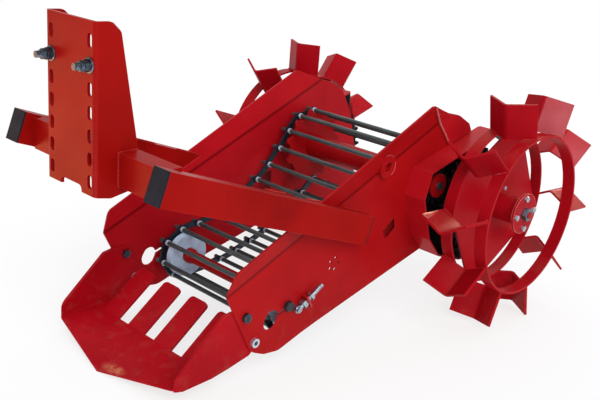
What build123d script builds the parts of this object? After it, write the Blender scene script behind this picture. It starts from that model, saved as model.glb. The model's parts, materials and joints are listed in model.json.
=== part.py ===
from build123d import *
import math
import os

os.makedirs("parts", exist_ok=True)

# Millimetres. x is to the machine's left, y to the rear, z up; the floor is z = 0.
# Places along y are written from the wheel axle and moved by axleY when a node is saved.
wheelReach = 262.8
boltReach = 946.0
axleY = (boltReach - wheelReach) / 2
axleZ = 262.0
# Larger than anything cut by it
cutReach = 1000.0

# Side plates
wallInner = 194.0
wallOuter = 198.0
wallThick = wallOuter - wallInner
wallOutline = [
    (-716, 190), (-700, 159), (-646, 55), (-611, 39), (-571, 34), (-507, 54), (-466, 65), (-264, 115),
    (-126, 149), (-40, 119), (60, 113), (86, 170), (84, 246), (62, 313), (50, 356), (26, 398), (9, 425),
    (-40, 452), (-75, 460), (-109, 472), (-149, 488), (-160, 488), (-700, 235),
]
wallCorners = [10, 12, 30, 30, 40, 30, 0, 40, 0, 6, 20, 20, 6, 6, 6, 6, 10, 6, 0, 6, 8, 8, 26]
creaseStart, creaseEnd = (-716, 190), (-75, 460)
flangeTilt = 12.0
seeThrough = {"y": -597, "z": 109, "long": 42, "wide": 35, "turn": 60}
adjustSlot = {"y": -572, "z": 117, "long": 40, "wide": 7, "turn": 18}
ringHoles = {"y": -424, "z": 184, "ring": 13, "radius": 3.8, "count": 5}
rhombRecess = [(-274, 223), (-238, 246), (-232, 223), (-260, 203)]
recessDeep = 3.0
innerHoles = [
    {"y": -70, "z": 234, "radius": 9},
    {"y": -88, "z": 190, "radius": 8},
    {"y": -40, "z": 320, "radius": 8},
]
bossY, bossZ, bossRadius, bossBore = -291, 374, 25, 12
bossTall = 9.0
doublerOutline = [(-146, 486), (-109, 472), (-75, 459), (-40, 451), (2, 428), (8, 408), (-64, 389)]
doublerThick = 4.0

# Gear cases, gears and stub axles
caseOutline = [
    (-190, 354), (-207, 295), (-170, 196), (-126, 147), (-40, 117), (60, 111), (141, 169), (166, 262),
    (136, 355), (50, 416),
]
caseWide = 52.0
caseRim = wallOuter + caseWide
caseSheet = 3.0
backThick = 3.0
# The case is open behind: cut back slanting from the wall to the rim
caseCutAtWall, caseCutAtRim = 45.0, 110.0
gearFromWall, gearWidth = 16.0, 16.0
gearInner = wallOuter + gearFromWall
gearTeeth, pinionTeeth = 34, 12
gearHub, pinionHub = 27.0, 21.0
gearHubOuter = gearInner + gearWidth + 6
pinionHubOuter = gearInner + gearWidth + 3
pinionCap = {"radius": 27.0, "thick": 5.0}
stubRadius = 15.0
stubInside = 8.0
stubEndRadius, stubEndLong = 8.0, 15.0
shoulderPlay = 1.0
axleNut = {"long": 10.5, "radius": 15.0, "play": 1.5}
axleCollar = {"outer": 262.0, "radius": 21.0}

# Drive shaft and conveyor
driveY, driveZ = -143.0, 314.0
driveRadius = 83.9
driveTeeth = 11
tubeRadius = 27.0
shaftRadius = 12.0
shaftBoltRadius, shaftBoltHead = 9.0, 6.0
rollerY, rollerZ = -531.0, 116.0
rollerRadius = 55.0
sagRadius = 390.0
hangRadius = 580.0
rodRadius = 5.0
rodCount = 28
firstRod = 5.0
linkInner, linkThick, linkHeight = 157.0, 4.0, 14.0
linkNose = 8.0
rodGap = 0.2
rodSides, collarSides = 12, 8
rodStub = 14.0
collarRadius, collarWide = 6.5, 5.0
sprocketThick, sprocketGap = 6.0, 4.0
toothReach, toothRoot, toothTip = 7.0, 22.0, 8.0
discWide, discGap = 15.0, 1.0
rollerShaftRadius = 11.0

# Share: blade, lifting fingers and side wings
shareThick = 7.0
shareHalf = wallInner
tipY, tipZ = -861.5, 2.0
cornerY, cornerZ = -825.0, 34.0
rearY, rearZ = -740.0, 36.0
bevel, bevelRise = 17.0, 0.3
edgeThick = 2.0
cornerRound, tipRound = 20.0, 8.0
fingerX = [-130, -43, 43, 130]
fingerWide, fingerLong, fingerRise, fingerRound = 52.0, 118.0, 37.7, 10.0
fingerRoot = 4.0
tabInner, tabRearY, tabRearZ = 156.0, -702.0, 42.0
wingOutline = [
    (-825, 28), (-824, 52), (-719, 148), (-697, 152), (-648, 150), (-616, 84), (-645, 47), (-702, 35),
    (-740, 29),
]
wingCorners = [0, 16, 12, 0, 12, 12, 10, 0, 0]
shareBolts = [{"y": -665, "z": 135}, {"y": -640, "z": 75}]
shareBoltRadius, shareBoltHead, shareNut = 9.5, 7.0, 8.0

# Arms, cross tube and hitch bracket
armInner = wallOuter
armWide, armTall, armWall = 40.0, 61.0, 4.0
armTopY, armTopZ, armDrop, armLong = -885.0, 470.0, 19.3, 556.0
capThick, capPlug = 3.0, 12.0
crossFront, crossDeep, crossLow, crossTall, crossWall = -870.0, 40.0, 397.0, 61.0, 4.0
bracketHalf, bracketThick = 75.0, 6.0
bracketFront, bracketLow = -916.0, 384.0
bracketBend = 8.0
cheekOutline = [
    (-916, 680), (-884, 679), (-866, 662), (-832, 474), (-832, 440), (-841, 386), (-884, 378), (-916, 384),
]
cheekCorners = [0, 14, 14, 0, 0, 4, 8, 0]
notchLeft, notchRight, notchTall, notchRound = 34.0, -30.0, 12.0, 9.0
slotX, slotFirstZ, slotPitch, slotCount = 58.0, 408.4, 39.8, 7
slotWide, slotTall = 13.0, 25.0
countBelowBolt = 5
hitchBolt = {"shank": 6.0, "nut": 10.8, "nutLong": 12.0, "headLong": 9.0, "play": 1.0}

# Chain tensioners on the side plates
tensioner = {"headRadius": 8.0, "headLong": 10.0, "eyeRadius": 6.0, "rodRadius": 4.5, "rodEnd": 74.0}
tensionerRise = 30.0
tensionerOut = 10.0
tensionerX = wallOuter + tensionerOut
tensionerNuts = [{"at": 12.0, "long": 9.0, "across": 10.0}, {"at": 36.0, "long": 6.0, "across": 9.0}]
earAt, earThick, earTall, earOver = 24.0, 5.0, 30.0, 8.0
lockNut = {"y": -554, "z": 128, "across": 11.0, "long": 9.0}

# Wheels
hoopOuter, hoopInner = 182.0, 177.5
hoops = [{"name": "inner", "from": 283.0, "wide": 27.0}, {"name": "outer", "from": 368.0, "wide": 29.0}]
lugCount = 10
lugPath = [(284.0, 7.0), (337.0, -20.0), (395.0, 14.0)]
lugThick, lugBend = 5.0, 9.0
lugRoot, lugReach = 178.0, 262.0
leftPhase, rightPhase = -14.4, 0.0
webInner, webThick, webFlat, webTurn = 294.5, 5.0, 142.0, 29.3
hubInner, hubOuter, hubRadius = 268.0, 371.0, 30.0
hubPlay = 0.06
hubFlange, hubFlangeThick = 46.0, 6.0
hubBolts = {"ring": 35.0, "count": 4, "radius": 7.0, "long": 5.0, "turn": 4.0}
webBolts = {"ring": 46.0, "count": 4, "radius": 5.0, "long": 3.0, "turn": -45.0}


def outlineOf(points, corners=None):
    if corners:
        return make_face(FilletPolyline(*points, radius=corners, close=True))
    return make_face(Polyline(*points, close=True))


def slab(face, x, depth):
    return extrude(Plane.YZ.offset(x) * face, depth, dir=(1, 0, 0))


def bar(x, depth, y, z, radius):
    return slab(Pos(y, z) * Circle(radius), x, depth)


def hexBar(x, depth, y, z, radius):
    return slab(Pos(y, z) * RegularPolygon(radius, 6), x, depth)


def mirrored(shape):
    return mirror(shape, about=Plane.YZ)


def save(node, *shapes):
    solids = [solid for shape in shapes for solid in shape.solids()]
    export_step(Pos(0, axleY, 0) * Compound(solids), f"parts/{node}.step")


def savePair(node, *shapes):
    save(f"{node}_left", *shapes)
    save(f"{node}_right", *[mirrored(shape) for shape in shapes])


def turned(y, z, angle):
    a = math.radians(angle)
    return (y * math.cos(a) - z * math.sin(a), y * math.sin(a) + z * math.cos(a))


def tiltedBox(y, z, rise, along, across):
    corners = [(along[0], across[0]), (along[1], across[0]), (along[1], across[1]), (along[0], across[1])]
    spun = [turned(u, v, rise) for u, v in corners]
    return [(y + u, z + v) for u, v in spun]


# Side plate: wall with a blind round boss, its top band bent outward, and holes
creaseRise = math.degrees(math.atan2(creaseEnd[1] - creaseStart[1], creaseEnd[0] - creaseStart[0]))
crease = Axis((wallInner, *creaseStart), (0, *turned(1, 0, creaseRise)))
aboveCrease = slab(
    outlineOf(tiltedBox(*creaseStart, creaseRise, (-cutReach, cutReach), (0, cutReach))), 0, cutReach
)


def bentOutward(sheet):
    return (sheet - aboveCrease) + (sheet & aboveCrease).rotate(crease, flangeTilt)


flatPlate = slab(outlineOf(wallOutline, wallCorners), wallInner, wallThick)
flatPlate += bar(wallInner, wallThick + bossTall, bossY, bossZ, bossRadius)
flatPlate -= bar(wallOuter, bossTall + 1, bossY, bossZ, bossBore)
sidePlate = bentOutward(flatPlate)
slotShape = Rot(0, 0, seeThrough["turn"]) * SlotOverall(seeThrough["long"], seeThrough["wide"])
cuts = [slab(Pos(seeThrough["y"], seeThrough["z"]) * slotShape, wallInner - 1, wallThick + 2)]
adjustShape = Rot(0, 0, adjustSlot["turn"]) * SlotOverall(adjustSlot["long"], adjustSlot["wide"])
cuts.append(slab(Pos(adjustSlot["y"], adjustSlot["z"]) * adjustShape, wallInner - 1, wallThick + 2))
cuts.append(slab(outlineOf(rhombRecess), wallOuter - recessDeep, recessDeep + 1))
for index in range(ringHoles["count"]):
    dy, dz = turned(ringHoles["ring"], 0, index * 360 / ringHoles["count"])
    hole = (ringHoles["y"] + dy, ringHoles["z"] + dz, ringHoles["radius"])
    cuts.append(bar(wallInner - 1, wallThick + 2, *hole))
for row in innerHoles:
    cuts.append(bar(wallInner - 1, wallThick + 2, row["y"], row["z"], row["radius"]))
cuts.append(bar(wallInner - 1, wallThick + 2, 0, axleZ, stubRadius))
cuts.append(bar(wallInner - 1, wallThick + 2, driveY, driveZ, shaftRadius))
armBlock = outlineOf(tiltedBox(armTopY, armTopZ, -armDrop, (0, armLong), (-armTall, 0)))
cuts.append(slab(armBlock, armInner, armWide))
savePair("side_plate", sidePlate - cuts)

doubler = bentOutward(slab(outlineOf(doublerOutline), wallOuter, doublerThick))
save("rear_doublers", doubler, mirrored(doubler))

# Gear case: sheet strip bent round the gears, open outboard, on a dark back plate
caseFace = outlineOf(caseOutline)
caseInside = offset(caseFace, -caseSheet, kind=Kind.INTERSECTION)
cutPlan = make_face(Polyline(
    (wallOuter, caseCutAtWall), (caseRim, caseCutAtRim), (caseRim, cutReach), (wallOuter, cutReach),
    close=True,
))
openBehind = extrude(cutPlan, cutReach)
savePair("gear_case", slab(caseFace - caseInside, wallOuter, caseWide) - openBehind)
backPlate = slab(caseInside, wallOuter, backThick) - openBehind
backPlate -= bar(wallOuter - 1, backThick + 2, 0, axleZ, stubRadius)
backPlate -= bar(wallOuter - 1, backThick + 2, driveY, driveZ, shaftRadius)
savePair("gear_case_back", backPlate)


def gearFace(teeth, radius, module, phase):
    step = 360 / teeth
    profile = [(-0.31, -1.15), (-0.12, 0.95), (0.12, 0.95), (0.31, -1.15)]
    points = []
    for tooth in range(teeth):
        for offsetShare, height in profile:
            points.append(turned(radius + height * module, 0, phase + (tooth + offsetShare) * step))
    return outlineOf(points)


centres = math.hypot(driveY, driveZ - axleZ)
module = 2 * centres / (gearTeeth + pinionTeeth)
gearLine = math.degrees(math.atan2(driveZ - axleZ, driveY))
gear = slab(
    Pos(0, axleZ) * gearFace(gearTeeth, module * gearTeeth / 2, module, gearLine), gearInner, gearWidth
)
gear += bar(wallOuter + backThick, gearHubOuter - wallOuter - backThick, 0, axleZ, gearHub)
gear -= bar(wallOuter, gearHubOuter - wallOuter + 1, 0, axleZ, stubRadius)
savePair("axle_gear", gear)
pinionPhase = gearLine + 180 + 180 / pinionTeeth
pinion = slab(
    Pos(driveY, driveZ) * gearFace(pinionTeeth, module * pinionTeeth / 2, module, pinionPhase),
    gearInner, gearWidth,
)
pinion += bar(wallOuter + backThick, pinionHubOuter - wallOuter - backThick, driveY, driveZ, pinionHub)
pinion -= bar(wallOuter, pinionHubOuter - wallOuter + 1, driveY, driveZ, shaftRadius)
savePair("pinion", pinion)

shoulderX = hubOuter + hubFlangeThick - shoulderPlay
stub = bar(wallInner - stubInside, shoulderX - wallInner + stubInside, 0, axleZ, stubRadius)
stub += bar(shoulderX, stubEndLong, 0, axleZ, stubEndRadius)
stub += bar(wallInner - stubInside, stubInside, 0, axleZ, axleCollar["radius"])
stub += bar(gearHubOuter, axleCollar["outer"] - gearHubOuter, 0, axleZ, axleCollar["radius"])
savePair("stub_axle", stub)
nutX = hubOuter + hubFlangeThick + axleNut["play"]
nut = hexBar(nutX, axleNut["long"], 0, axleZ, axleNut["radius"])
nut -= bar(nutX, axleNut["long"], 0, axleZ, stubEndRadius)

# Conveyor path: over the drive sprockets, down a sagging arc, round the front rollers and back, hanging
drive = Vector(driveY, driveZ)
roller = Vector(rollerY, rollerZ)
span = (roller - drive).length
forward = (roller - drive).normalized()
above = Vector(forward.Y, -forward.X)
if above.Y < 0:
    above = -above


def centreAbove(fromDrive, fromRoller):
    along = (fromDrive ** 2 - fromRoller ** 2 + span ** 2) / (2 * span)
    return drive + forward * along + above * math.sqrt(fromDrive ** 2 - along ** 2)


sag = centreAbove(sagRadius + driveRadius, sagRadius + rollerRadius)
hang = centreAbove(hangRadius - driveRadius, hangRadius - rollerRadius)


def heading(start, end):
    return math.degrees(math.atan2(end.X - start.X, end.Y - start.Y))


def onCircle(centre, radius, angle):
    a = math.radians(angle)
    return Vector(centre.X + radius * math.sin(a), centre.Y + radius * math.cos(a))


topDrive, topRoller = heading(drive, sag), heading(roller, sag)
underDrive, underRoller = heading(hang, drive), heading(hang, roller)
sagSweep = (heading(sag, roller) - heading(sag, drive)) % 360
frontSweep = (topRoller - underRoller) % 360
hangSweep = (underRoller - underDrive) % 360
pieces = [
    {"centre": drive, "radius": driveRadius, "start": firstRod, "turn": topDrive - firstRod},
    {"centre": sag, "radius": sagRadius, "start": heading(sag, drive), "turn": sagSweep},
    {"centre": roller, "radius": rollerRadius, "start": topRoller, "turn": -frontSweep},
    {"centre": hang, "radius": hangRadius, "start": underRoller, "turn": -hangSweep},
    {"centre": drive, "radius": driveRadius, "start": underDrive, "turn": firstRod - underDrive},
]


def lengthOf(piece):
    return math.radians(abs(piece["turn"])) * piece["radius"]


def conveyorPoint(distance):
    for piece in pieces:
        long = lengthOf(piece)
        if distance <= long:
            break
        distance -= long
    return onCircle(piece["centre"], piece["radius"], piece["start"] + piece["turn"] * distance / long)


loopLength = sum(lengthOf(piece) for piece in pieces)
rodPlaces = [conveyorPoint(index * loopLength / rodCount) for index in range(rodCount)]
rodPitch = loopLength / rodCount
print("rod pitch", round(rodPitch, 2), "tooth pitch", round(2 * math.pi * driveRadius / driveTeeth, 2))

linkOuter = linkInner + 2 * linkThick
collarInner = linkInner - collarWide
rods, links, collars = [], [], []
for index, place in enumerate(rodPlaces):
    following = rodPlaces[(index + 1) % rodCount]
    chord = following - place
    rise = math.degrees(math.atan2(chord.Y, chord.X))
    long, half = chord.length, linkHeight / 2
    shape = [(-linkNose, 0), (0, -half), (long, -half), (long + linkNose, 0), (long, half), (0, half)]
    spun = [turned(u, v, rise) for u, v in shape]
    outline = outlineOf([(place.X + u, place.Y + v) for u, v in spun])
    links.append(slab(outline, linkInner + (index % 2) * linkThick, linkThick))
    rodFace = Pos(place.X, place.Y) * RegularPolygon(rodRadius, rodSides)
    rods.append(slab(rodFace, -collarInner, 2 * collarInner))
    stubLink = slab(rodFace, linkOuter, rodStub)
    rods += [stubLink, mirrored(stubLink)]
    collarFace = Pos(place.X, place.Y) * RegularPolygon(collarRadius, collarSides)
    collars.append(slab(collarFace, collarInner, collarWide))
save("conveyor_rods", *rods)
savePair("conveyor_chain", *links)
save("rod_ends", *collars, *[mirrored(collar) for collar in collars])

# Toothed sprockets under the rods, on the thick drive tube
toothAngle = 360 / driveTeeth
rootRadius = driveRadius - rodRadius - rodGap
crown = driveRadius + toothReach
toothPath = [
    (-toothRoot / 2, rootRadius), (-toothTip / 2, crown), (toothTip / 2, crown), (toothRoot / 2, rootRadius),
]
sprocketPoints = []
for tooth in range(driveTeeth):
    middle = firstRod + (tooth + 0.5) * toothAngle
    sprocketPoints += [turned(across, out, -middle) for across, out in toothPath]
sprocketX = collarInner - sprocketGap - sprocketThick
sprocket = slab(Pos(driveY, driveZ) * outlineOf(sprocketPoints), sprocketX, sprocketThick)
sprocket -= bar(sprocketX, sprocketThick, driveY, driveZ, shaftRadius)
save("drive_sprockets", sprocket, mirrored(sprocket))
tubeHalf = sprocketX
driveShaft = bar(-tubeHalf, 2 * tubeHalf, driveY, driveZ, tubeRadius)
driveShaft += bar(-pinionHubOuter, 2 * pinionHubOuter, driveY, driveZ, shaftRadius)
cap = bar(pinionHubOuter, pinionCap["thick"], driveY, driveZ, pinionCap["radius"])
driveShaft += [cap, mirrored(cap)]
save("drive_shaft", driveShaft)
shaftBolt = hexBar(pinionHubOuter + pinionCap["thick"], shaftBoltHead, driveY, driveZ, shaftBoltRadius)
save("shaft_and_axle_nuts", shaftBolt, nut, mirrored(shaftBolt), mirrored(nut))

discX = collarInner - discGap - discWide
disc = bar(discX, discWide, rollerY, rollerZ, rollerRadius - rodRadius - rodGap)
disc -= bar(discX, discWide, rollerY, rollerZ, rollerShaftRadius)
save("front_rollers", disc, mirrored(disc))
save("roller_shaft", bar(-wallInner, 2 * wallInner, rollerY, rollerZ, rollerShaftRadius))

# Share: half blade as one ruled loft from the middle section to the side section
middleSection = [
    (tipY, 0), (tipY, tipZ), (rearY, rearZ), (rearY, rearZ - shareThick), (tipY + bevel, 0),
]
sideSection = [
    (cornerY, cornerZ - edgeThick), (cornerY, cornerZ), (rearY, rearZ), (rearY, rearZ - shareThick),
    (cornerY + bevel, cornerZ - edgeThick - bevel * bevelRise),
]
halfBlade = loft(
    [Plane.YZ * outlineOf(middleSection), Plane.YZ.offset(shareHalf) * outlineOf(sideSection)], ruled=True
)
tabOutline = [
    (rearY - edgeThick, rearZ), (tabRearY, tabRearZ), (tabRearY, tabRearZ - shareThick),
    (rearY - edgeThick, rearZ - shareThick),
]
tab = slab(outlineOf(tabOutline), tabInner, shareHalf - tabInner)
wing = slab(outlineOf(wingOutline, wingCorners), shareHalf - shareThick, shareThick)
halfShare = halfBlade + tab + wing
fingerHalf = fingerWide / 2
fingerFace = outlineOf(
    [
        (-fingerHalf, -fingerRoot), (fingerHalf, -fingerRoot), (fingerHalf, fingerLong),
        (-fingerHalf, fingerLong),
    ],
    [0, 0, fingerRound, fingerRound],
)
slope = math.radians(fingerRise)
fingers = []
for x in fingerX:
    plane = Plane((x, rearY, rearZ), x_dir=(1, 0, 0), z_dir=(0, -math.sin(slope), math.cos(slope)))
    fingers.append(extrude(plane * fingerFace, -shareThick))
plan = outlineOf(
    [(shareHalf, 0), (shareHalf, cornerY), (0, tipY), (-shareHalf, cornerY), (-shareHalf, 0)],
    [0, cornerRound, tipRound, cornerRound, 0],
)
share = (halfShare + mirrored(halfShare) + fingers) & extrude(plan, cutReach)
save("share", share)

bolts = []
for bolt in shareBolts:
    bolts.append(bar(wallOuter, shareBoltHead, bolt["y"], bolt["z"], shareBoltRadius))
    inner = shareHalf - shareThick - shareNut
    bolts.append(hexBar(inner, shareNut, bolt["y"], bolt["z"], shareBoltRadius))
save("share_bolts", *bolts, *[mirrored(bolt) for bolt in bolts])

# Arms with end caps, cross tube and the slotted hitch bracket
armBore = (-armTall + armWall, -armWall)
arm = slab(armBlock, armInner, armWide)
arm -= slab(
    outlineOf(tiltedBox(armTopY, armTopZ, -armDrop, (-1, armLong + 1), armBore)),
    armInner + armWall, armWide - 2 * armWall,
)
savePair("arm", arm)
caps = []
for face, plug in ((-capThick, capPlug), (armLong + capThick, armLong - capPlug)):
    edge = 0 if face < 0 else armLong
    shell = outlineOf(tiltedBox(armTopY, armTopZ, -armDrop, sorted((face, edge)), (-armTall, 0)))
    core = outlineOf(tiltedBox(armTopY, armTopZ, -armDrop, sorted((plug, edge)), armBore))
    caps.append(slab(shell, armInner, armWide) + slab(core, armInner + armWall, armWide - 2 * armWall))
save("arm_caps", *caps, *[mirrored(cap) for cap in caps])


def crossBox(inset):
    low, tall = crossLow + inset, crossTall - 2 * inset
    return Pos(0, crossFront + crossDeep / 2, low + tall / 2) * Box(2 * armInner, crossDeep - 2 * inset, tall)


save("cross_tube", crossBox(0) - crossBox(crossWall))

slotRows = [slotFirstZ + row * slotPitch for row in range(slotCount)]
outer = Pos(0, bracketFront + cutReach / 2) * RectangleRounded(2 * bracketHalf, cutReach, bracketBend)
innerHalf, innerBend = bracketHalf - bracketThick, bracketBend - bracketThick
innerFront = bracketFront + bracketThick
inner = Pos(0, innerFront + cutReach / 2) * RectangleRounded(2 * innerHalf, cutReach, innerBend)
bentPlate = extrude(outer - inner, cutReach)
profile = slab(outlineOf(cheekOutline, cheekCorners), -bracketHalf, 2 * bracketHalf)
bracket = (bentPlate & profile) - crossBox(0)
slotFace = Rot(0, 0, 90) * SlotOverall(slotTall, slotWide)
notchFace = Pos((notchLeft + notchRight) / 2, bracketLow) * RectangleRounded(
    notchLeft - notchRight, 2 * notchTall, notchRound
)
front = Plane((0, bracketFront - 1, 0), x_dir=(1, 0, 0), z_dir=(0, -1, 0))
openings = [notchFace] + [Pos(x, z) * slotFace for x in (-slotX, slotX) for z in slotRows]
for face in openings:
    bracket -= extrude(front * face, bracketThick + 2, dir=(0, 1, 0))
save("hitch_bracket", bracket)

hitchBolts = []
boltZ = slotRows[countBelowBolt]
for x in (-slotX, slotX):
    place = Plane((x, -boltReach, boltZ), x_dir=(1, 0, 0), z_dir=(0, 1, 0))
    reach = bracketFront + boltReach
    shank = extrude(place * Circle(hitchBolt["shank"]), reach + bracketThick + hitchBolt["play"])
    hexagon = RegularPolygon(hitchBolt["nut"], 6, rotation=30)
    nutFace = place.offset(reach - hitchBolt["nutLong"]) * hexagon
    headFace = place.offset(reach + bracketThick) * hexagon
    ends = extrude(nutFace, hitchBolt["nutLong"]) + extrude(headFace, hitchBolt["headLong"])
    hitchBolts.append(shank + ends)
save("hitch_bolts", *hitchBolts)

# Tensioners: shaft end outside the wall, pull rod with nuts through a welded ear, and a lock nut
pull = bar(wallOuter, tensioner["headLong"], rollerY, rollerZ, tensioner["headRadius"])
pull += bar(wallOuter, tensionerOut + tensioner["rodRadius"], rollerY, rollerZ, tensioner["eyeRadius"])
pullLine = Plane(
    (tensionerX, rollerY, rollerZ), x_dir=(1, 0, 0),
    z_dir=(0, math.cos(math.radians(tensionerRise)), math.sin(math.radians(tensionerRise))),
)
pull += extrude(pullLine * Circle(tensioner["rodRadius"]), tensioner["rodEnd"])
for nutRow in tensionerNuts:
    pull += extrude(pullLine.offset(nutRow["at"]) * RegularPolygon(nutRow["across"], 6), nutRow["long"])
ear = outlineOf(tiltedBox(
    rollerY, rollerZ, tensionerRise, (earAt, earAt + earThick), (-earTall / 2, earTall / 2)
))
pull += slab(ear, wallOuter, tensionerOut + earOver)
lock = hexBar(wallOuter, lockNut["long"], lockNut["y"], lockNut["z"], lockNut["across"])
savePair("tensioner", pull, lock)

# Wheels: two hoops, cut-square web, hub, and bent lugs across both hoops
phases = {"left": leftPhase, "right": rightPhase}


def bentStrip(path, thick, bend):
    (x0, t0), (x1, t1), (x2, t2) = path
    first = Vector(x1 - x0, t1 - t0).normalized()
    second = Vector(x2 - x1, t2 - t1).normalized()
    half = thick / 2
    sides = []
    for side in (1, -1):
        normalA = Vector(-first.Y, first.X) * side * half
        normalB = Vector(-second.Y, second.X) * side * half
        mitre = (normalA + normalB) * (half * half / (half * half + normalA.dot(normalB)))
        sides.append([
            (x0 + normalA.X, t0 + normalA.Y), (x1 + mitre.X, t1 + mitre.Y), (x2 + normalB.X, t2 + normalB.Y)
        ])
    inside, outside = bend, bend + thick
    return outlineOf(sides[0] + sides[1][::-1], [0, inside, 0, 0, outside, 0])


lugSection = bentStrip(lugPath, lugThick, lugBend)
for side, phase in phases.items():
    flip = (lambda shape: shape) if side == "left" else mirrored
    for row in hoops:
        hoop = bar(row["from"], row["wide"], 0, axleZ, hoopOuter)
        hoop -= bar(row["from"], row["wide"], 0, axleZ, hoopInner)
        save(f"wheel_{side}_hoop_{row['name']}", flip(hoop))
    square = Rot(0, 0, webTurn) * Rectangle(2 * webFlat, 2 * webFlat)
    webFace = (square & Circle(hoopInner)) - Circle(hubRadius)
    save(f"wheel_{side}_web", flip(slab(Pos(0, axleZ) * webFace, webInner, webThick)))
    hub = bar(hubInner, hubOuter - hubInner, 0, axleZ, hubRadius)
    hub += bar(hubOuter, hubFlangeThick, 0, axleZ, hubFlange)
    hub -= bar(hubInner, hubOuter + hubFlangeThick - hubInner, 0, axleZ, stubRadius + hubPlay)
    save(f"wheel_{side}_hub", flip(hub))
    heads = []
    faces = ((hubBolts, hubOuter + hubFlangeThick), (webBolts, webInner + webThick))
    for ring, x in faces:
        for index in range(ring["count"]):
            dy, dz = turned(0, ring["ring"], ring["turn"] + index * 360 / ring["count"])
            heads.append(hexBar(x, ring["long"], dy, axleZ + dz, ring["radius"]))
    save(f"wheel_{side}_bolts", *[flip(head) for head in heads])
    rim = bar(lugPath[0][0] - lugThick, lugPath[2][0] - lugPath[0][0] + 2 * lugThick, 0, axleZ, hoopOuter)
    lugs = []
    for index in range(lugCount):
        angle = phase + index * 360 / lugCount
        a = math.radians(angle)
        radial = (0, math.sin(a), math.cos(a))
        plane = Plane((0, lugRoot * radial[1], axleZ + lugRoot * radial[2]), x_dir=(1, 0, 0), z_dir=radial)
        lugs.append(extrude(plane * lugSection, lugReach - lugRoot) - rim)
    save(f"wheel_{side}_lugs", *[flip(lug) for lug in lugs])
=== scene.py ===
import json
import math

import bpy
from mathutils import Matrix, Vector


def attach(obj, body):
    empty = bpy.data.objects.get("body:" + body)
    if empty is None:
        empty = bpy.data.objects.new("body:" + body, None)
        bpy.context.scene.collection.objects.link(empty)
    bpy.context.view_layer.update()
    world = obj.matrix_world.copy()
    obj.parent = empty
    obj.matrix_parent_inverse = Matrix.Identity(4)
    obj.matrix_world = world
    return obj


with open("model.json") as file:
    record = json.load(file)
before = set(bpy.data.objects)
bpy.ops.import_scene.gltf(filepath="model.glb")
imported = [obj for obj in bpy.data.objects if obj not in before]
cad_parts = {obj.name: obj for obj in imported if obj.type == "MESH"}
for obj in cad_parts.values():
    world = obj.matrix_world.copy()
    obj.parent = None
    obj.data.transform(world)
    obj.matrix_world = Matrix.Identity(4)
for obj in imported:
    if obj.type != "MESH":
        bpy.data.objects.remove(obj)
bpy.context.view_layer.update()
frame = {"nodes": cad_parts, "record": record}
nodes = frame["nodes"]
print("frame loaded:", len(nodes), "nodes")

# the photograph's camera, worked out from the two wheels
photoCamera = {
    "place": (1.298, -1.3854, 0.897),
    "right": (0.713, 0.697, 0.076),
    "up": (-0.278, 0.181, 0.944),
    "lens": 53.92,
    "sensor": 36.0,
    "sightEnd": 50.0,
}


def makeCamera(look):
    right = Vector(look["right"]).normalized()
    up = Vector(look["up"])
    up = (up - right * up.dot(right)).normalized()
    turn = Matrix((right, up, right.cross(up))).transposed().to_4x4()
    data = bpy.data.cameras.new("photoCamera")
    data.lens = look["lens"]
    data.sensor_width = look["sensor"]
    data.sensor_fit = "HORIZONTAL"
    data.clip_end = look["sightEnd"]
    camera = bpy.data.objects.new("photoCamera", data)
    camera.matrix_world = Matrix.Translation(look["place"]) @ turn
    bpy.context.scene.collection.objects.link(camera)
    bpy.context.scene.camera = camera


makeCamera(photoCamera)
print("camera placed")


# a socket of a shader tree: sums and products of these add Math nodes
class Wire:
    def __init__(self, finish, socket):
        self.finish = finish
        self.socket = socket

    def math(self, operation, first, second):
        return self.finish.node("ShaderNodeMath", {"operation": operation}, {0: first, 1: second})

    def __add__(self, other):
        return self.math("ADD", self, other)

    def __radd__(self, other):
        return self.math("ADD", other, self)

    def __sub__(self, other):
        return self.math("SUBTRACT", self, other)

    def __rsub__(self, other):
        return self.math("SUBTRACT", other, self)

    def __mul__(self, other):
        return self.math("MULTIPLY", self, other)

    def __rmul__(self, other):
        return self.math("MULTIPLY", other, self)

    def __abs__(self):
        return self.finish.node("ShaderNodeMath", {"operation": "ABSOLUTE"}, {0: self})

    def sine(self):
        return self.finish.node("ShaderNodeMath", {"operation": "SINE"}, {0: self})

    def above(self, level):
        return self.math("GREATER_THAN", self, level)

    def below(self, level):
        return self.math("LESS_THAN", self, level)

    def within(self, span):
        return self.above(span[0]) * self.below(span[1])

    def spread(self, low, high, to=(0.0, 1.0)):
        return self.finish.node(
            "ShaderNodeMapRange", {"clamp": True}, {0: self, 1: low, 2: high, 3: to[0], 4: to[1]}
        )

    def vectorMath(self, operation, others, out="Vector"):
        return self.finish.node("ShaderNodeVectorMath", {"operation": operation}, {0: self, **others}, out)

    def stretched(self, scale):
        return self.vectorMath("MULTIPLY", {1: scale})

    def minus(self, other):
        return self.vectorMath("SUBTRACT", {1: other})

    def dot(self, other):
        return self.vectorMath("DOT_PRODUCT", {1: other}, "Value")

    def length(self):
        return self.vectorMath("LENGTH", {}, "Value")

    # how far a place is from the line across the machine through the middle
    def offLine(self, middle):
        return self.stretched((0, 1, 1)).minus(middle).length()


# how far the facing has to turn within a rim for it to show, as cosines
rimLook = {"samples": 6, "levels": (0.975, 0.86)}


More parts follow.
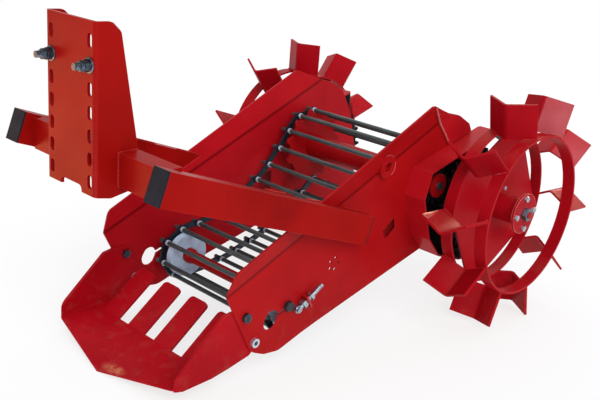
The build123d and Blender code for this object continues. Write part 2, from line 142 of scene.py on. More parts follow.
# a shader tree, for a material or for the sky
class Finish:
    def __init__(self, tree):
        self.tree = tree
        self.tree.nodes.clear()

    def node(self, kind, settings, inputs, out=0):
        made = self.tree.nodes.new(kind)
        for key, value in settings.items():
            setattr(made, key, value)
        for key, value in inputs.items():
            if isinstance(value, Wire):
                self.tree.links.new(value.socket, made.inputs[key])
            else:
                made.inputs[key].default_value = value
        return Wire(self, made.outputs[out]) if len(made.outputs) else None

    def place(self):
        return self.node("ShaderNodeTexCoord", {}, {}, "Object")

    def along(self, axis):
        return self.node("ShaderNodeSeparateXYZ", {}, {0: self.place()}, axis)

    def facing(self):
        return self.node("ShaderNodeNewGeometry", {}, {}, "True Normal")

    # the same in the piece's own axes, so that the dust with its painted sheen, and the painted shade inside the
    # gear cases, turn with their piece
    def ownFacing(self):
        turned = {"vector_type": "NORMAL", "convert_from": "WORLD", "convert_to": "OBJECT"}
        return self.node("ShaderNodeVectorTransform", turned, {"Vector": self.facing()})

    # 1 along the edges of a piece, where the paint is rubbed and where a highlight is painted along the rounded
    # edges
    def wornAndLitEdges(self, radius):
        rounded = self.node("ShaderNodeBevel", {"samples": rimLook["samples"]}, {"Radius": radius})
        return rounded.dot(self.facing()).spread(*rimLook["levels"])

    def noise(self, scale, detail=3.0, roughness=0.5, stretch=None):
        at = self.place()
        if stretch:
            at = at.stretched(stretch)
        return self.node(
            "ShaderNodeTexNoise", {}, {"Vector": at, "Scale": scale, "Detail": detail, "Roughness": roughness}
        )

    # a noise that fades in between two of its levels
    def mottle(self, look, to=(0.0, 1.0), stretch=None):
        cloud = self.noise(look["scale"], look.get("detail", 3.0), look.get("rough", 0.5), stretch)
        return cloud.spread(*look["levels"], to)

    def blend(self, factor, first, second):
        return self.node("ShaderNodeMix", {"data_type": "RGBA"}, {0: factor, 6: first, 7: second}, 2)

    def bump(self, height, strength, distance=0.001):
        return self.node("ShaderNodeBump", {}, {"Strength": strength, "Distance": distance, "Height": height})

    def surface(self, **inputs):
        named = {key.replace("_", " "): value for key, value in inputs.items()}
        shader = self.node("ShaderNodeBsdfPrincipled", {}, named)
        self.node("ShaderNodeOutputMaterial", {}, {"Surface": shader})


def newFinish(name):
    material = bpy.data.materials.new(name)
    material.use_nodes = True
    return material, Finish(material.node_tree)


enamel = {
    "color": (0.365, 0.0040, 0.0060, 1),
    "deep": (0.270, 0.0026, 0.0046, 1),
    "warm": (0.430, 0.0080, 0.0095, 1),
    # the edge colour: rubbed paint, and a painted highlight along the edges
    "rim": (0.50, 0.035, 0.035, 1),
    "rimWide": 0.0016,
    "roughness": 0.30,
    "duller": 0.1,
    "shine": 0.048,
    "peel": 0.05,
    "dust": (0.30, 0.085, 0.060, 1),
    "dustTop": 0.16,
    # dust on upward faces, which also stands as a painted sheen
    "dustAndSheen": 0.0,
}
# the wheels and the share came out of a slightly bluer pot
crimson = dict(
    enamel,
    color=(0.385, 0.0034, 0.0092, 1),
    deep=(0.290, 0.0024, 0.0070, 1),
    warm=(0.440, 0.0060, 0.0120, 1),
)
# the wheels' upward faces are painted lighter: dust, and a painted sheen
wheelEnamel = dict(crimson, dustAndSheen=0.30, shine=0.035)
# the hubs' edges are painted pale over a wider band: rubbed paint, and a painted highlight
hubEnamel = dict(wheelEnamel, rim=(0.74, 0.34, 0.29, 1), rimWide=0.0022)
# the gear cases, the doublers and the right side plate get a lighter copy of the red, painted light to match the
# brighter light on them
litCopyEnamel = dict(
    crimson,
    color=(0.445, 0.0062, 0.0120, 1),
    deep=(0.360, 0.0040, 0.0088, 1),
    warm=(0.50, 0.010, 0.017, 1),
)
# the hitch, the cross tube and the arms get a warmer, darker copy of the red, painted to stand for the warm light
# on them
warmLitEnamel = dict(
    enamel,
    color=(0.315, 0.0040, 0.0032, 1),
    deep=(0.235, 0.0027, 0.0022, 1),
    warm=(0.360, 0.0070, 0.0050, 1),
    shine=0.032,
)
# pale red for beads that stand as painted highlights
paleHighlightEnamel = dict(crimson, color=(0.56, 0.12, 0.12, 1), deep=(0.46, 0.06, 0.06, 1))
weldEnamel = dict(crimson, rimWide=0.0003)

# how the paint varies over a piece
paintMottle = {
    "deep": {"scale": 6, "detail": 4, "rough": 0.55, "levels": (0.38, 0.66)},
    "warm": {"scale": 2.6, "levels": (0.48, 0.72), "share": 0.7},
    "grime": {"scale": 38, "detail": 5, "rough": 0.65, "levels": (0.52, 0.72), "share": 0.3, "dulls": 0.5},
    "dustAndSheen": {"scale": 16, "detail": 4, "rough": 0.6, "levels": (0.46, 0.62), "flatness": (0.72, 0.95)},
    "wear": {"scale": 30, "levels": (0.3, 0.6)},
    "gloss": {"scale": 14, "levels": (0.3, 0.7)},
    "peel": {"scale": 420, "detail": 2},
}

# marks on the paint, with places in metres: painted shade in the pressed pocket in each side plate, darkest
# toward its rear
pocketShade = {
    "y": (0.0664, 0.1106),
    "z": (0.201, 0.248),
    "depth": (0.1938, 0.1976),
    "shade": (0.35, 1.0),
    "dark": (0.055, 0.0010, 0.0015, 1),
}
# the worn tip of the share, painted lighter as its highlight too
scuffAndHighlight = {
    "middle": (0.028, -0.500, 0.0),
    "long": 0.040,
    "narrow": 0.35,
    "tall": 2.0,
    "core": 0.35,
    "specks": {"scale": 45, "detail": 5, "rough": 0.7, "levels": (0.40, 0.62), "share": 0.75},
    "color": (0.62, 0.24, 0.12, 1),
}
# painted shade in the fold under each side plate's bent band
creaseShade = {
    "from": (0.0, -0.3744, 0.190),
    "over": (0.0, -0.3882, 0.9216),
    "depth": (0.1925, 0.1990),
    "end": 0.2666,
    "core": 0.0010,
    "wide": 0.0055,
    "shade": 0.7,
    "dark": (0.085, 0.0010, 0.0020, 1),
}
# painted shade: the inside of the gear cases, which faces their middle, is painted black
caseInsideShade = {"middle": (0.0, 0.2816, 0.262), "black": (0.002, 0.002, 0.002, 1)}


def inPocketShade(paint, look):
    across = abs(paint.along("X")).within(look["depth"])
    shown = paint.along("Y").within(look["y"]) * paint.along("Z").within(look["z"]) * across
    return shown * paint.along("Y").spread(*look["y"], look["shade"])


def inCreaseShade(paint, look):
    away = abs(paint.place().minus(look["from"]).dot(look["over"]))
    onPlate = abs(paint.along("X")).within(look["depth"]) * paint.along("Y").below(look["end"])
    return away.spread(look["core"], look["wide"], (1.0, 0.0)) * onPlate * look["shade"]


def onScuffAndHighlight(paint, look):
    away = paint.place().minus(look["middle"]).stretched((1, 1 / look["narrow"], 1 / look["tall"])).length()
    patch = away.spread(look["long"] * look["core"], look["long"], (1.0, 0.0))
    return patch * paint.mottle(look["specks"]) * look["specks"]["share"]


def inCaseShade(paint, look):
    outward = paint.place().minus(look["middle"]).stretched((0, 1, 1))
    return paint.ownFacing().dot(outward).below(0)


def redEnamel(name, look, marked=False, shadedInside=False):
    material, paint = newFinish(name)
    deep, warm, dirt, dustAndSheen = (paintMottle[key] for key in ("deep", "warm", "grime", "dustAndSheen"))
    color = paint.blend(paint.mottle(deep), look["color"], look["deep"])
    color = paint.blend(paint.mottle(warm) * warm["share"], color, look["warm"])
    low = paint.along("Z").spread(0.0, look["dustTop"], (1.0, 0.0))
    grime = low * paint.mottle(dirt) * dirt["share"]
    # upward faces lighter: dust, and a painted sheen
    if look["dustAndSheen"]:
        flat = paint.ownFacing().dot((0, 0, 1)).spread(*dustAndSheen["flatness"])
        grime = grime + flat * paint.mottle(dustAndSheen) * look["dustAndSheen"]
    color = paint.blend(grime, color, look["dust"])
    # edges painted lighter: rubbed paint, and a painted highlight
    color = paint.blend(paint.wornAndLitEdges(look["rimWide"]) * paint.mottle(paintMottle["wear"]), color, look["rim"])
    rough = paint.mottle(paintMottle["gloss"], (look["roughness"], look["roughness"] + look["duller"]))
    peel = paint.noise(paintMottle["peel"]["scale"], paintMottle["peel"]["detail"])
    if marked:
        # the share tip: wear, and a painted highlight
        color = paint.blend(onScuffAndHighlight(paint, scuffAndHighlight), color, scuffAndHighlight["color"])
        # painted shade in the side plates' pockets
        color = paint.blend(inPocketShade(paint, pocketShade), color, pocketShade["dark"])
        # painted shade along the side plates' folds
        color = paint.blend(inCreaseShade(paint, creaseShade), color, creaseShade["dark"])
    # painted shade: the cases' inner faces black
    if shadedInside:
        color = paint.blend(inCaseShade(paint, caseInsideShade), color, caseInsideShade["black"])
    paint.surface(
        Base_Color=color, Roughness=rough + grime * dirt["dulls"], Normal=paint.bump(peel, look["peel"]),
        Specular_IOR_Level=look["shine"],
    )
    return material


steels = {
    "rod": {
        "light": (0.066, 0.086, 0.088, 1), "dark": (0.014, 0.020, 0.022, 1),
        "roughness": 0.36, "grain": (1, 14, 14), "metal": 0.2,
    },
    "chain": {
        "light": (0.022, 0.036, 0.058, 1), "dark": (0.004, 0.007, 0.012, 1),
        "roughness": 0.36, "grain": (9, 9, 9), "metal": 0.6,
    },
    "collar": {
        "light": (0.72, 0.88, 1.0, 1), "dark": (0.38, 0.50, 0.62, 1),
        "roughness": 0.26, "grain": (9, 9, 9), "metal": 0.4,
    },
    "bolt": {
        "light": (0.105, 0.130, 0.160, 1), "dark": (0.018, 0.023, 0.030, 1),
        "roughness": 0.34, "grain": (9, 9, 9), "metal": 1.0,
    },
    "zinc": {
        "light": (0.55, 0.60, 0.66, 1), "dark": (0.18, 0.21, 0.26, 1),
        "roughness": 0.28, "grain": (9, 9, 9), "metal": 1.0,
    },
}
steelMottle = {
    "dark": {"scale": 24, "detail": 5, "rough": 0.6, "levels": (0.3, 0.7)},
    "gloss": {"scale": 60, "levels": (0.3, 0.7), "duller": 0.18},
    "pits": {"scale": 320, "strength": 0.08, "deep": 0.0006},
    "threads": {"pits": 0.1, "strength": 0.6},
    "rimWide": 0.0008,
    "rimShare": 0.5,
}


def bareSteel(name, look, threads=None, patches=()):
    material, paint = newFinish(name)
    color = paint.blend(paint.mottle(steelMottle["dark"], stretch=look["grain"]), look["light"], look["dark"])
    # edges painted lighter: worn bright, and a painted highlight
    rim = paint.wornAndLitEdges(steelMottle["rimWide"]) * steelMottle["rimShare"]
    color = paint.blend(rim, color, look["light"])
    gloss, pits = steelMottle["gloss"], steelMottle["pits"]
    rough = paint.mottle(gloss, (look["roughness"], look["roughness"] + gloss["duller"]))
    metal = look["metal"]
    for patch in patches:
        shown = patch["where"](paint)
        color = paint.blend(shown, color, patch["color"])
        metal = metal - shown * (look["metal"] - patch["metal"])
    height, strength = paint.noise(pits["scale"]), pits["strength"]
    if threads:
        reach = paint.place().dot(threads["along"])
        wave = (reach * (2 * math.pi / threads["pitch"])).sine()
        height = height * steelMottle["threads"]["pits"] + wave * reach.within(threads["span"])
        strength = steelMottle["threads"]["strength"]
    bump = paint.bump(height, strength, pits["deep"])
    paint.surface(Base_Color=color, Roughness=rough, Metallic=metal, Normal=bump)
    return material


capPlastic = {"color": (0.006, 0.010, 0.019, 1), "roughness": 0.46, "shine": 0.09}
# the gear cases' back plates are black as painted shade inside the cases
caseShadeBlack = {"color": (0.002, 0.002, 0.002, 1), "roughness": 0.5, "shine": 0.06}
greasyGear = {
    "color": (0.003, 0.0034, 0.003, 1),
    "roughness": 0.4,
    "shine": 0.08,
    "grease": (0.008, 0.009, 0.008, 1),
}
blackMottle = {
    "deep": {"scale": 30, "detail": 4, "levels": (0.35, 0.65), "darker": 0.5},
    "grease": {"scale": 70, "detail": 4, "levels": (0.6, 0.7), "share": 0.6},
    "gloss": {"scale": 90, "levels": (0.3, 0.7), "duller": 0.15},
    "pits": {"scale": 900, "detail": 2, "strength": 0.12},
}


def blackPart(name, look):
    material, paint = newFinish(name)
    deep, grease, gloss, pits = (blackMottle[key] for key in ("deep", "grease", "gloss", "pits"))
    darker = tuple(c * deep["darker"] for c in look["color"][:3]) + (1,)
    color = paint.blend(paint.mottle(deep), look["color"], darker)
    if "grease" in look:
        color = paint.blend(paint.mottle(grease) * grease["share"], color, look["grease"])
    rough = paint.mottle(gloss, (look["roughness"], look["roughness"] + gloss["duller"]))
    bump = paint.bump(paint.noise(pits["scale"], pits["detail"]), pits["strength"])
    paint.surface(Base_Color=color, Roughness=rough, Specular_IOR_Level=look["shine"], Normal=bump)
    return material


# the front rollers turn about this line, and the tensioners pull on it
rollerLine = (0, -0.1894, 0.116)
roller = {
    "color": (0.50, 0.66, 0.86, 1),
    "worn": (0.32, 0.42, 0.55, 1),
    "roughness": 0.42,
    "shine": 0.35,
    "ringsPerMetre": 1500,
    "ringShare": 0.14,
    "ringHigh": 0.12,
    "ringDeep": 0.0004,
    "stain": {"scale": 40, "detail": 5, "rough": 0.6, "levels": (0.42, 0.68), "share": 0.8, "dulls": 0.15},
}


def rollerPlastic(name, look):
    material, paint = newFinish(name)
    rings = (paint.place().offLine(rollerLine) * look["ringsPerMetre"]).sine()
    stain = paint.mottle(look["stain"])
    shown = stain * look["stain"]["share"] + rings * look["ringShare"]
    paint.surface(
        Base_Color=paint.blend(shown, look["color"], look["worn"]),
        Roughness=stain * look["stain"]["dulls"] + look["roughness"],
        Specular_IOR_Level=look["shine"],
        Normal=paint.bump(rings, look["ringHigh"], look["ringDeep"]),
    )
    return material


# each tensioner's pull rod runs up and back at 30 degrees, through an ear that is painted with the plate
pull = {
    "along": (0, math.cos(math.radians(30)), math.sin(math.radians(30))),
    "ear": (0.0235, 0.0295),
    "under": 0.2,
    "lockNut": (0, -0.2124, 0.128),
    "nutRadius": 0.0115,
}
hitchThreads = {"along": (0, -1, 0), "pitch": 0.00175, "span": (0.585, 0.61)}
pullThreads = {"along": pull["along"], "pitch": 0.0015, "span": (-0.048, -0.02)}
shaftEnds = {"middle": (0, 0.1986, 0.314), "radius": 0.0115}
axleNuts = {"middle": (0, 0.3416, 0.262), "radius": 0.018}
shareBolts = {"newUnder": 0.1, "sockets": ((0, -0.3234, 0.135), (0, -0.2984, 0.075)), "radius": 0.0046}


def onEar(paint):
    reach = paint.place().minus(rollerLine).dot(pull["along"])
    return reach.within(pull["ear"]) * paint.along("Z").below(pull["under"]) * paint.along("Y").below(0)


def onLockNut(paint):
    return paint.place().offLine(pull["lockNut"]).below(pull["nutRadius"])


def onShaftEnd(paint):
    return paint.place().offLine(shaftEnds["middle"]).below(shaftEnds["radius"])


def onAxleNut(paint):
    return paint.place().offLine(axleNuts["middle"]).below(axleNuts["radius"])


def onLowBolt(paint):
    return paint.along("Z").below(shareBolts["newUnder"])


# painted shade in the share bolts' sockets
def inSocketShade(paint):
    return sum(paint.place().offLine(middle).below(shareBolts["radius"]) for middle in shareBolts["sockets"])


# the lower share bolts are newer and brighter than the upper ones, and all have painted shade in their sockets
boltPatches = (
    {"where": onLowBolt, "color": (0.55, 0.62, 0.70, 1), "metal": 0.9},
    {"where": inSocketShade, "color": (0.035, 0.045, 0.055, 1), "metal": 0.8},
)
# the lock nuts are black, and the pinion shafts' ends and the axle nuts are duller than the other nuts
zincPatches = (
    {"where": onEar, "color": enamel["color"], "metal": 0.0},
    {"where": onLockNut, "color": (0.03, 0.034, 0.04, 1), "metal": 0.6},
    {"where": onShaftEnd, "color": (0.07, 0.08, 0.095, 1), "metal": 0.8},
    {"where": onAxleNut, "color": (0.13, 0.18, 0.22, 1), "metal": 0.9},
)
finishes = {
    "red_paint": redEnamel("redEnamel", enamel, marked=True),
    "wheel_red": redEnamel("wheelEnamel", wheelEnamel),
    "black_plastic": blackPart("capPlastic", capPlastic),
    "case_black": blackPart("caseShadeBlack", caseShadeBlack),
    "gear_steel": blackPart("greasyGear", greasyGear),
    "rod_steel": bareSteel("rodSteel", steels["rod"]),
    "chain_steel": bareSteel("chainSteel", steels["chain"]),
    "rod_end_steel": bareSteel("collarSteel", steels["collar"]),
    "roller_plastic": rollerPlastic("rollerPlastic", roller),
    "bolt_steel": bareSteel("boltSteel", steels["bolt"], hitchThreads, boltPatches),
    "zinc_steel": bareSteel("zincSteel", steels["zinc"], pullThreads, zincPatches),
}
weldRed = redEnamel("weldEnamel", weldEnamel)
caseRed = redEnamel("caseEnamel", litCopyEnamel, shadedInside=True)
litCopyRed = redEnamel("litCopyEnamel", litCopyEnamel, marked=True)
hubRed = redEnamel("hubEnamel", hubEnamel)
paleHighlightRed = redEnamel("paleHighlightEnamel", paleHighlightEnamel)
shareRed = redEnamel("shareEnamel", crimson, marked=True)
warmLitRed = redEnamel("warmLitEnamel", warmLitEnamel)

# pieces whose paint isn't their slot's own
ownPaint = {
    "share": shareRed,
    "rear_doublers": litCopyRed,
    "side_plate_right": litCopyRed,
    "gear_case_left": caseRed,
    "gear_case_right": caseRed,
    "hitch_bracket": warmLitRed,
    "cross_tube": warmLitRed,
    "arm_left": warmLitRed,
    "arm_right": warmLitRed,
    "wheel_left_hub": hubRed,
    "wheel_right_hub": hubRed,
}
slots = {entry["node"]: entry["material_slot"] for entry in frame["record"]["subparts"]}
for name, piece in nodes.items():
    for socket in piece.material_slots:
        socket.material = ownPaint.get(name, finishes[slots[name]])
print("finishes on:", len(finishes))

# pressed and cut steel has small rounded edges, which catch the light (angles in degrees)
rounding = {"wide": 0.0009, "steps": 2, "over": 32.0, "flatWithin": 0.6, "smoothUnder": 46.0}
unrounded = ("conveyor_rods", "gear_case_back_left", "gear_case_back_right")


# smooth faces, with sharp edges where they meet at more than the angle
def smoothGroup(angle):
    group = bpy.data.node_groups.new("smoothByAngle", "GeometryNodeTree")
    group.interface.new_socket("Geometry", in_out="INPUT", socket_type="NodeSocketGeometry")
    group.interface.new_socket("Geometry", in_out="OUTPUT", socket_type="NodeSocketGeometry")
    start = group.nodes.new("NodeGroupInput")
    end = group.nodes.new("NodeGroupOutput")
    faces = group.nodes.new("GeometryNodeSetShadeSmooth")
    faces.domain = "FACE"
    edges = group.nodes.new("GeometryNodeSetShadeSmooth")
    edges.domain = "EDGE"
    corner = group.nodes.new("GeometryNodeInputMeshEdgeAngle")
    low = group.nodes.new("ShaderNodeMath")
    low.operation = "LESS_THAN"
    low.inputs[1].default_value = math.radians(angle)
    group.links.new(start.outputs[0], faces.inputs["Geometry"])
    group.links.new(faces.outputs[0], edges.inputs["Geometry"])
    group.links.new(corner.outputs["Unsigned Angle"], low.inputs[0])
    group.links.new(low.outputs[0], edges.inputs["Shade Smooth"])
    group.links.new(edges.outputs[0], end.inputs[0])
    return group


def roundEdges(piece, wide, look, smooth):
    flat = piece.modifiers.new("flatFaces", "DECIMATE")
    flat.decimate_type = "DISSOLVE"
    flat.angle_limit = math.radians(look["flatWithin"])
    if wide:
        bevel = piece.modifiers.new("roundEdges", "BEVEL")
        bevel.width = wide
        bevel.segments = look["steps"]
        bevel.limit_method = "ANGLE"
        bevel.angle_limit = math.radians(look["over"])
        bevel.use_clamp_overlap = True
    shade = piece.modifiers.new("smoothShade", "NODES")
    shade.node_group = smooth
    weigh = piece.modifiers.new("flatNormals", "WEIGHTED_NORMAL")
    weigh.keep_sharp = True


smooth = smoothGroup(rounding["smoothUnder"])
for name, piece in nodes.items():
    roundEdges(piece, 0 if name in unrounded else rounding["wide"], rounding, smooth)
print("edges rounded")

# places on the drawing are in millimetres, with y measured from the wheel axle
axleY = 0.3416


def spot(x, y, z):
    return Vector((x / 1000, y / 1000 + axleY, z / 1000))


def roundAngles(count):
    return [2 * math.pi * k / count for k in range(count)]


def makePiece(name, points, faces, body, finish):
    mesh = bpy.data.meshes.new(name)
    mesh.from_pydata([tuple(p) for p in points], [], faces)
    mesh.validate()
    mesh.polygons.foreach_set("use_smooth", [True] * len(mesh.polygons))
    piece = bpy.data.objects.new(name, mesh)
    bpy.context.scene.collection.objects.link(piece)
    mesh.materials.append(finish)
    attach(piece, body)
    return piece


# a weld bead, in millimetres; no bead runs along the slant
weld = {
    "radius": 2.4,
    "ripple": 0.16,
    "pitch": 3.2,
    "step": 0.8,
    "sides": 8,
    "tipStart": 0.35,
    "tipGrow": 0.25,
    "slant": Vector((0.31, 0.52, 0.79)),
}


def placesAlong(run, step):
    places = []
    for first, last in zip(run, run[1:]):
        count = max(2, round((last - first).length * 1000 / step))
        places += [first.lerp(last, k / count) for k in range(count)]
    return places + [run[-1]]


# rippled beads laid along runs of points
def layWelds(name, runs, body, finish, look):
    points, faces = [], []
    sides = look["sides"]
    for run in runs:
        start = len(points)
        places = placesAlong(run, look["step"])
        last = len(places) - 1
        gone = 0.0
        for k, place in enumerate(places):
            ahead = (places[min(k + 1, last)] - places[max(k - 1, 0)]).normalized()
            side = ahead.cross(look["slant"]).normalized()
            over = ahead.cross(side)
            tip = min(1.0, look["tipStart"] + min(k, last - k) * look["tipGrow"])
            wave = 1 + look["ripple"] * math.sin(gone * 2 * math.pi / look["pitch"])
            radius = look["radius"] / 1000 * tip * wave
            points += [place + (side * math.cos(a) + over * math.sin(a)) * radius for a in roundAngles(sides)]
            if k < last:
                gone += (places[k + 1] - place).length * 1000
        for k in range(last):
            a, b = start + k * sides, start + (k + 1) * sides
            for n in range(sides):
                m = (n + 1) % sides
                faces.append((a + n, a + m, b + m, b + n))
        faces.append([start + n for n in range(sides)][::-1])
        faces.append([start + last * sides + n for n in range(sides)])
    return makePiece(name, points, faces, body, finish)


# both seams of every lug on both hoops, just outside the hoops
lugWelds = {
    "path": ((284.0, 7.0), (337.0, -20.0), (395.0, 14.0)),
    "spans": ((285.0, 308.5), (369.5, 394.0)),
    "out": 3.68,
    "hoop": 182.6,
    "count": 10,
    "axleZ": 262.0,
    "phases": {"left": -14.4, "right": 0.0},
}


def alongLug(x, path):
    for (x0, t0), (x1, t1) in zip(path, path[1:]):
        if x <= x1 or (x1, t1) == path[-1]:
            return t0 + (t1 - t0) * (x - x0) / (x1 - x0)


def seamPlace(sign, x, out, a, look):
    t = alongLug(x, look["path"]) + out
    r = math.sqrt(look["hoop"] ** 2 - t ** 2)
    y = r * math.sin(a) + t * math.cos(a)
    z = r * math.cos(a) - t * math.sin(a)
    return spot(sign * x, y, look["axleZ"] + z)


def lugRuns(side, look):
    sign = 1 if side == "left" else -1
    runs = []
    for k in range(look["count"]):
        a = math.radians(look["phases"][side] + k * 360 / look["count"])
        for x0, x1 in look["spans"]:
            for out in (-look["out"], look["out"]):
                runs.append([seamPlace(sign, x, out, a, look) for x in (x0, (x0 + x1) / 2, x1)])
    return runs


for side in ("left", "right"):
    name = f"lugWelds{side.capitalize()}"
    layWelds(name, lugRuns(side, lugWelds), f"wheel_{side}", weldRed, weld)

# beads on three sides of the cross tube, where it meets the hitch's cheeks
tube = {
    "front": -870.0,
    "back": -830.0,
    "low": 397.0,
    "high": 458.0,
    "cheek": 76.0,
    "corners": (("back", "low"), ("front", "low"), ("front", "high"), ("back", "high")),
}
# three lengths of bead over and under each arm, where it lies against the side plate
armSeams = {
    "y": -885.0,
    "z": 470.0,
    "drop": 19.3,
    "tall": 61.0,
    "wall": 199.0,
    "gap": 0.8,
    "lengths": ((260, 320), (380, 440), (500, 550)),
}


def tubeRun(sign, look):
    return [spot(sign * look["cheek"], look[y], look[z]) for y, z in look["corners"]]


def armRuns(sign, look):
    drop = math.radians(look["drop"])
    along, down = (math.cos(drop), -math.sin(drop)), (-math.sin(drop), -math.cos(drop))
    runs = []
    for tall in (-look["gap"], look["tall"] + look["gap"]):
        for ends in look["lengths"]:
            places = [
                (look["y"] + along[0] * u + down[0] * tall, look["z"] + along[1] * u + down[1] * tall)
                for u in ends
            ]
            runs.append([spot(sign * look["wall"], y, z) for y, z in places])
    return runs


frameRuns = []
for sign in (-1, 1):
    frameRuns += [tubeRun(sign, tube)] + armRuns(sign, armSeams)
layWelds("frameWelds", frameRuns, "frame", warmLitRed, weld)

# the bead down the front edge of each doubler, which is folded with the plate, painted pale as a highlight
doublerEdge = ((201.0, -66.5, 388.5), (201.0, -114.3, 443.5), (210.6, -148.0, 482.5))
doublerRuns = [[spot(sign * x, y, z) for x, y, z in doublerEdge] for sign in (-1, 1)]
layWelds("doublerWelds", doublerRuns, "frame", paleHighlightRed, weld)

# a pale bead on the edge of each plate's round boss, toward the rear only: a painted highlight
boss = {"x": 206.9, "y": -291.0, "z": 374.0, "radius": 24.3, "from": -60, "to": 110, "count": 18, "bead": 1.0}


def bossRun(sign, look):
    sweep = look["to"] - look["from"]
    turns = [math.radians(look["from"] + sweep * k / look["count"]) for k in range(look["count"] + 1)]
    radius = look["radius"]
    return [
        spot(sign * look["x"], look["y"] + radius * math.cos(a), look["z"] + radius * math.sin(a)) for a in turns
    ]


bossRuns = [bossRun(sign, boss) for sign in (-1, 1)]
bossHighlightBead = dict(weld, radius=boss["bead"], ripple=0.0)
layWelds("bossEdgeHighlights", bossRuns, "frame", paleHighlightRed, bossHighlightBead)
print("welds laid")


# a turned part about an axis along x or y, from a table of (place, radius) in millimetres
def turnedPart(name, middle, axis, profile, sides, body, finish):
    across = Vector((0, 0, 1))
    over = axis.cross(across)
    points, faces = [], []
    for place, radius in profile:
        ring = middle + axis * (place / 1000)
        points += [ring + (across * math.cos(a) + over * math.sin(a)) * radius / 1000 for a in roundAngles(sides)]
    rings = len(profile)
    for k in range(rings):
        for n in range(sides):
            m, j = (n + 1) % sides, (k + 1) % rings
            faces.append((k * sides + n, k * sides + m, j * sides + m, j * sides + n))
    return makePiece(name, points, faces, body, finish)


# the red tube over the front rollers' shaft, with a wider collar at each disc
rollerTube = {
    "y": -531.0,
    "z": 116.0,
    "sides": 32,
    "half": ((136.0, 11.0), (136.0, 17.0), (124.0, 17.0), (123.0, 16.0), (120.0, 14.0), (117.0, 13.4)),
}
otherHalf = tuple((-x, radius) for x, radius in reversed(rollerTube["half"]))
turnedPart(
    "rollerTube", spot(0, rollerTube["y"], rollerTube["z"]), Vector((1, 0, 0)), rollerTube["half"] + otherHalf,
    rollerTube["sides"], "frame", finishes["red_paint"],
)

# washers and second nuts on the two hitch bolts, in front of the plate
hitchStack = {
    "x": 58.0,
    "y": -916.0,
    "z": 607.4,
    "washer": ((0, 6), (0, 13.2), (0.4, 13.6), (1.9, 13.6), (2.4, 13.0), (2.4, 6)),
    "washerSides": 36,
    "nut": ((12.2, 6), (12.2, 8.8), (13.0, 9.6), (19.4, 9.6), (21.0, 7.8), (21.0, 6)),
    "nutSides": 6,
}
for n, sign in enumerate((-1, 1)):
    middle = spot(sign * hitchStack["x"], hitchStack["y"], hitchStack["z"])
    forward = Vector((0, -1, 0))
    turnedPart(
        f"hitchWasher{n}", middle, forward, hitchStack["washer"], hitchStack["washerSides"],
        "frame", finishes["bolt_steel"],
    )
    nut = turnedPart(
        f"hitchJamNut{n}", middle, forward, hitchStack["nut"], hitchStack["nutSides"],
        "frame", finishes["bolt_steel"],
    )
    nut.data.polygons.foreach_set("use_smooth", [False] * len(nut.data.polygons))
print("small parts made")

studio = {
    "floorRadius": 14.0,
    "floorSides": 64,
    "floorColor": (0.93, 0.93, 0.93, 1),
    "floorGlow": 0.74,
    "sky": (0.98, 0.985, 1.0, 1),
    "skyLight": 0.78,
}
white = (1.0, 1.0, 1.0, 1.0)


# 1 for rays that see the background: from the camera, or mirrored or let through by the object
def seenDirectly(paint):
    return sum(
        paint.node("ShaderNodeLightPath", {}, {}, kind)
        for kind in ("Is Camera Ray", "Is Glossy Ray", "Is Transmission Ray")
    )


def makeFloor(look):
    mesh = bpy.data.meshes.new("floor")
    reach, count = look["floorRadius"], look["floorSides"]
    rim = [(reach * math.cos(a), reach * math.sin(a), 0) for a in roundAngles(count)]
    mesh.from_pydata(rim, [], [list(range(count))])
    floor = bpy.data.objects.new("floor", mesh)
    bpy.context.scene.collection.objects.link(floor)
    material, paint = newFinish("floorPaint")
    pale = paint.node("ShaderNodeBsdfDiffuse", {}, {"Color": look["floorColor"]})
    glow = paint.node("ShaderNodeEmission", {}, {"Color": white, "Strength": 1.0})
    share = seenDirectly(paint) * look["floorGlow"]
    both = paint.node("ShaderNodeMixShader", {}, {0: share, 1: pale, 2: glow})
    paint.node("ShaderNodeOutputMaterial", {}, {"Surface": both})
    mesh.materials.append(material)


def makeSky(look):
    world = bpy.data.worlds.new("studioSky")
    bpy.context.scene.world = world
    world.use_nodes = True
    sky = Finish(world.node_tree)
    lit = sky.node("ShaderNodeBackground", {}, {"Color": look["sky"], "Strength": look["skyLight"]})
    shown = sky.node("ShaderNodeBackground", {}, {"Color": white, "Strength": 1.0})
    both = sky.node("ShaderNodeMixShader", {}, {0: seenDirectly(sky), 1: lit, 2: shown})
    sky.node("ShaderNodeOutputWorld", {}, {"Surface": both})


makeFloor(studio)
makeSky(studio)

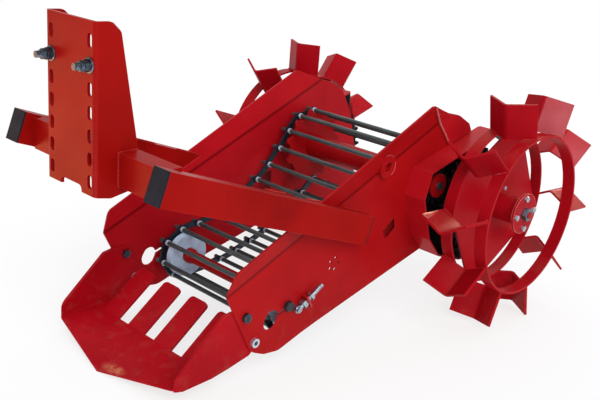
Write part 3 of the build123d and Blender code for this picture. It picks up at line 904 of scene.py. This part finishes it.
# a soft sun and a box behind light the machine; the others only show in the gloss: a warm card before the
# hitch, a pale one beside the wheel, and three small lamps that the lugs mirror
lamps = [
    {
        "name": "softSun", "kind": "SUN", "place": (1.4, -0.8, 1.5), "toward": (0, 0, 0.3),
        "color": (1, 1, 1), "power": 1.6, "angle": 40.0, "glossOnly": False,
    },
    {
        "name": "backBox", "kind": "AREA", "place": (-1.0, 1.6, 2.0), "toward": (0, 0, 0.3),
        "color": (0.93, 0.96, 1), "power": 9.0, "size": (1.4, 1.4), "beam": 180.0, "glossOnly": False,
    },
    {
        "name": "warmCard", "kind": "AREA", "place": (-0.72, -1.15, 0.05), "toward": (0, -0.57, 0.5),
        "color": (1.0, 0.40, 0.09), "power": 4.2, "size": (1.1, 1.0), "beam": 60.0, "glossOnly": True,
    },
    {
        "name": "frontBox", "kind": "AREA", "place": (1.48, -1.03, 1.32), "toward": (0.365, 0.42, 0.47),
        "color": (0.86, 0.92, 1.0), "power": 4.5, "size": (0.5, 0.5), "beam": 40.0, "glossOnly": True,
    },
    {
        "name": "paleCard", "kind": "AREA", "place": (0.55, -1.15, 0.02), "toward": (0.55, -1.15, 1.0),
        "color": (0.80, 0.86, 1.0), "power": 30.0, "size": (1.3, 0.55), "beam": 180.0, "glossOnly": True,
    },
    {
        "name": "tanLamp", "kind": "AREA", "place": (0.15, 1.82, 1.33), "toward": (0.31, 0.132, 0.275),
        "color": (1.0, 0.80, 0.60), "power": 4.5, "size": (0.4, 0.4), "beam": 40.0, "glossOnly": True,
    },
    {
        "name": "topBox", "kind": "AREA", "place": (1.125, 0.785, 2.22), "toward": (0.365, 0.519, 0.375),
        "color": (0.92, 0.90, 1.0), "power": 3.0, "size": (0.5, 0.5), "beam": 40.0, "glossOnly": True,
    },
]


def makeLamp(row):
    data = bpy.data.lights.new(row["name"], row["kind"])
    data.energy = row["power"]
    data.color = row["color"]
    if row["kind"] == "SUN":
        data.angle = math.radians(row["angle"])
    else:
        data.shape = "RECTANGLE"
        data.size, data.size_y = row["size"]
        data.spread = math.radians(row["beam"])
    lamp = bpy.data.objects.new(row["name"], data)
    lamp.location = row["place"]
    lamp.visible_diffuse = not row["glossOnly"]
    toward = Vector(row["toward"]) - Vector(row["place"])
    lamp.rotation_euler = toward.to_track_quat("-Z", "Y").to_euler()
    bpy.context.scene.collection.objects.link(lamp)


for row in lamps:
    makeLamp(row)
bpy.context.scene.view_settings.view_transform = "Standard"
print("studio lit")
